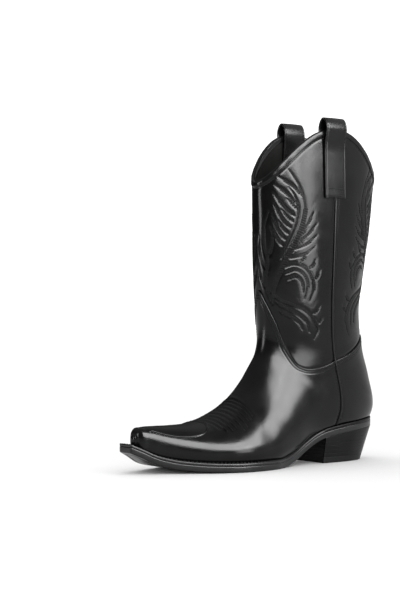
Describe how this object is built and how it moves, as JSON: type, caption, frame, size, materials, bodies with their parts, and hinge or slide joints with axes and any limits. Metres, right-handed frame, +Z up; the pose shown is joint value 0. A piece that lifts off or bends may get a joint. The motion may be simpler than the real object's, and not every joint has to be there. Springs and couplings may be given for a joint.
{
  "type": "cowboy boot",
  "caption": "Tall black leather western boot for the left foot, with a snipped pointed toe, scalloped top line, pull straps, stitched welt and a slanted stacked heel.",
  "frame": {"origin": "on the heel's rest face, on the boot's centre line, 37 mm behind the heel breast, so that Z = 0 is the floor", "axes": "+Z up along the shaft, -Y towards the toe, +X towards the outer side of the left foot"},
  "size_m": [0.1012, 0.3117, 0.3595],
  "materials": {
    "upper_leather": "glossy smooth black, polished",
    "shaft_leather": "glossy smooth black, stitched",
    "puff_fibre": "bonded leather fibre board, matt",
    "lining_leather": "matt dark lining leather",
    "piping_leather": "glossy black, tightly rolled",
    "binding_leather": "glossy black, rolled over the edge",
    "strap_leather": "satin black, edge stitched",
    "insole_leather": "vegetable-tanned, matt",
    "sock_leather": "matt dark grey-black",
    "shank_steel": "spring steel strip",
    "cork": "ground cork, matt",
    "welt_leather": "satin black, inked",
    "sole_leather": "satin black edge, burnished bottom",
    "sole_thread": "waxed black thread",
    "peg_wood": "lemonwood end grain",
    "heel_leather": "satin black stacked leather",
    "top_lift_rubber": "matt black rubber",
    "nail_brass": "plain brass nails"
  },
  "bodies": {
    "root": {"vamp": "upper_leather", "counter": "upper_leather", "front_shaft": "shaft_leather", "back_shaft": "shaft_leather", "toe_puff": "puff_fibre", "heel_stiffener": "puff_fibre", "vamp_lining": "lining_leather", "heel_lining": "lining_leather", "front_shaft_lining": "lining_leather", "back_shaft_lining": "lining_leather", "outer_piping": "piping_leather", "inner_piping": "piping_leather", "top_binding": "binding_leather", "outer_strap_legs": "strap_leather", "inner_strap_legs": "strap_leather", "insole": "insole_leather", "sock_liner": "sock_leather", "steel_shank": "shank_steel", "cork_filler": "cork", "welt": "welt_leather", "heel_rand": "welt_leather", "outsole": "sole_leather", "outsole_stitching": "sole_thread", "waist_pegs": "peg_wood", "heel_base": "heel_leather", "heel_lift_1": "heel_leather", "heel_lift_2": "heel_leather", "heel_lift_3": "heel_leather", "heel_lift_4": "heel_leather", "top_lift": "top_lift_rubber", "heel_nails": "nail_brass"},
    "outer_strap_loop": {"outer_pull_strap": "strap_leather"},
    "inner_strap_loop": {"inner_pull_strap": "strap_leather"}
  },
  "joints": [
    {"name": "outer_strap_rock", "type": "hinge", "parent": "root", "child": "outer_strap_loop", "pos_m": [0.0335, -0.03, 0.331], "axis": [0, 1, 0], "range_deg": [-7, 7], "stiffness_Nm_per_rad": 0.08},
    {"name": "inner_strap_rock", "type": "hinge", "parent": "root", "child": "inner_strap_loop", "pos_m": [-0.0335, -0.03, 0.331], "axis": [0, 1, 0], "range_deg": [-7, 7], "stiffness_Nm_per_rad": 0.08}
  ]
}
